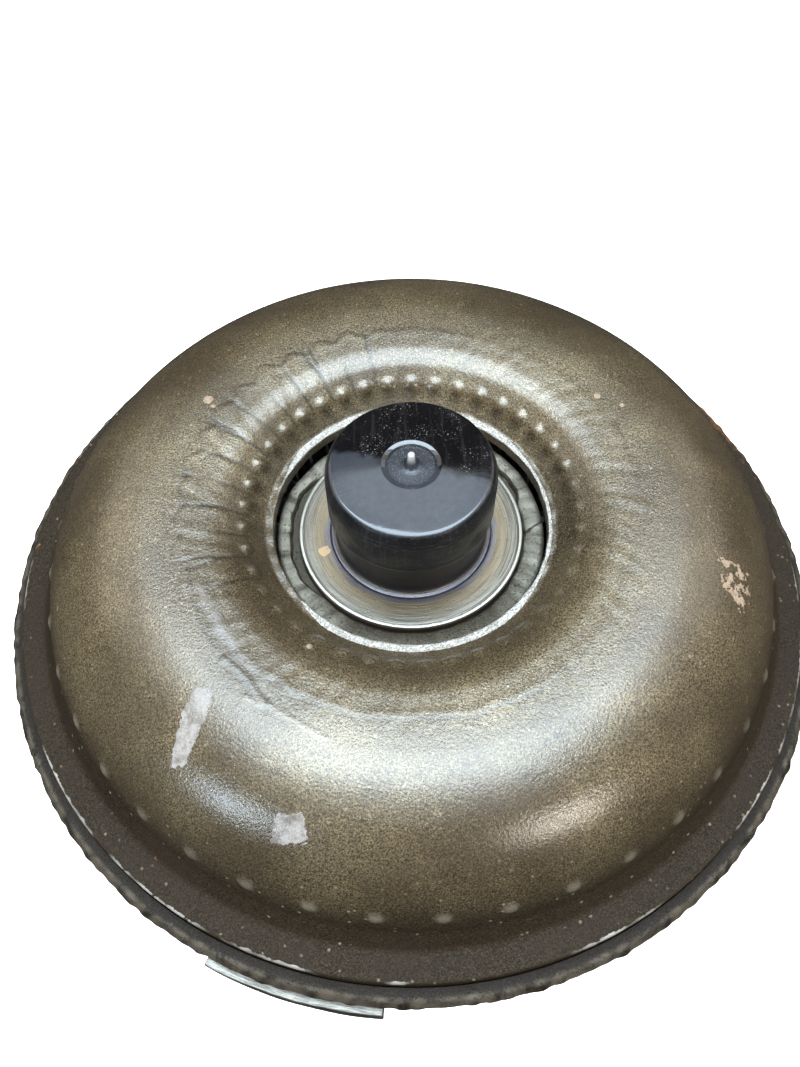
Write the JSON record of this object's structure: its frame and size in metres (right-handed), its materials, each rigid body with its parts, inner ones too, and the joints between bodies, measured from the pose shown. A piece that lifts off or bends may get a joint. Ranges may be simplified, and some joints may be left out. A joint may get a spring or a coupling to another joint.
{
  "type": "torque converter",
  "caption": "Welded lock-up torque converter: domed torus housing with a recessed hub flange, short pump hub under a round shipping cap, stepped rim weld and drive lugs on the cover.",
  "frame": {"origin": "on the shaft axis, in the plane of the drive lug faces that the converter stands on", "axes": "+Z along the shaft axis from the front cover to the pump hub; +X through the middle between two drive lugs"},
  "size_m": [0.272, 0.2737, 0.1215],
  "materials": {
    "housing_paint": "satin olive-bronze paint with a fine metallic fleck and orange-peel",
    "weld_bead": "rippled weld bead under thin grey-green paint",
    "machined_steel": "turned steel with fine circular tool marks, heat tint and light rust",
    "bare_steel": "bare cold-rolled strip, cut ends",
    "pressed_steel": "pressed steel, lightly oiled",
    "bearing_steel": "ground bearing steel",
    "spring_steel": "oil-tempered spring wire",
    "cast_aluminium": "die-cast aluminium, slightly rough",
    "friction_paper": "brown paper-based friction material",
    "washer_plastic": "dark moulded thrust washer",
    "cap_rubber": "black moulded rubber with a dull shine, dust and scuffs"
  },
  "bodies": {
    "housing": {"front_cover": "housing_paint", "pilot_boss": "machined_steel", "drive_lug_1": "housing_paint", "drive_lug_2": "housing_paint", "drive_lug_3": "housing_paint", "drive_lug_4": "housing_paint", "drive_lug_5": "housing_paint", "drive_lug_6": "housing_paint", "rim_weld_bead": "weld_bead", "balance_weight": "bare_steel", "impeller_shell": "housing_paint", "impeller_hub": "machined_steel", "hub_weld_bead": "weld_bead", "impeller_vanes": "pressed_steel", "stator_bearing_upper_race": "bearing_steel", "cover_thrust_washer": "washer_plastic"},
    "cap": {"shipping_cap": "cap_rubber"},
    "turbine": {"turbine_shell": "pressed_steel", "turbine_vanes": "pressed_steel", "turbine_hub": "machined_steel", "turbine_rivet_1": "pressed_steel", "turbine_rivet_2": "pressed_steel", "turbine_rivet_3": "pressed_steel", "turbine_rivet_4": "pressed_steel", "turbine_rivet_5": "pressed_steel", "turbine_rivet_6": "pressed_steel", "damper_driven_plate": "pressed_steel", "turbine_bearing_lower_race": "bearing_steel"},
    "damper": {"damper_retainer": "pressed_steel", "damper_spring_1": "spring_steel", "damper_spring_2": "spring_steel", "damper_spring_3": "spring_steel", "damper_spring_4": "spring_steel", "damper_spring_5": "spring_steel", "damper_spring_6": "spring_steel"},
    "piston": {"lockup_piston": "pressed_steel", "friction_lining": "friction_paper"},
    "stator": {"stator_wheel": "cast_aluminium", "stator_outer_race": "machined_steel", "overrun_roller_1": "machined_steel", "overrun_roller_2": "machined_steel", "overrun_roller_3": "machined_steel", "overrun_roller_4": "machined_steel", "overrun_roller_5": "machined_steel", "overrun_roller_6": "machined_steel", "overrun_roller_7": "machined_steel", "overrun_roller_8": "machined_steel", "stator_front_retainer": "cast_aluminium", "stator_rear_retainer": "cast_aluminium", "turbine_bearing_upper_race": "bearing_steel", "stator_bearing_lower_race": "bearing_steel"},
    "stator_race": {"stator_inner_race": "machined_steel"},
    "turbine_bearing": {"turbine_bearing_needle_cage": "bearing_steel"},
    "stator_bearing": {"stator_bearing_needle_cage": "bearing_steel"}
  },
  "joints": [
    {"name": "cap_pull", "type": "slide", "parent": "housing", "child": "cap", "axis": [0, 0, 1], "range_m": [0, 0.04]},
    {"name": "turbine_spin", "type": "hinge", "parent": "housing", "child": "turbine", "pos_m": [0, 0, 0], "axis": [0, 0, 1], "continuous": true},
    {"name": "damper_windup", "type": "hinge", "parent": "turbine", "child": "damper", "pos_m": [0, 0, 0], "axis": [0, 0, 1], "range_deg": [-6, 6], "stiffness_Nm_per_rad": 40, "deforming": ["damper_spring_1", "damper_spring_2", "damper_spring_3", "damper_spring_4", "damper_spring_5", "damper_spring_6"]},
    {"name": "lockup_apply", "type": "slide", "parent": "damper", "child": "piston", "axis": [0, 0, 1], "range_m": [0, 0.0013]},
    {"name": "stator_spin", "type": "hinge", "parent": "housing", "child": "stator", "pos_m": [0, 0, 0], "axis": [0, 0, 1], "continuous": true},
    {"name": "stator_race_spin", "type": "hinge", "parent": "stator", "child": "stator_race", "pos_m": [0, 0, 0], "axis": [0, 0, 1], "continuous": true},
    {"name": "turbine_bearing_roll", "type": "hinge", "parent": "turbine", "child": "turbine_bearing", "pos_m": [0, 0, 0], "axis": [0, 0, 1], "continuous": true},
    {"name": "stator_bearing_roll", "type": "hinge", "parent": "housing", "child": "stator_bearing", "pos_m": [0, 0, 0], "axis": [0, 0, 1], "continuous": true}
  ],
  "couplings": [
    {"joint": "stator_bearing_roll", "follows": "stator_spin", "ratio": 0.5}
  ]
}
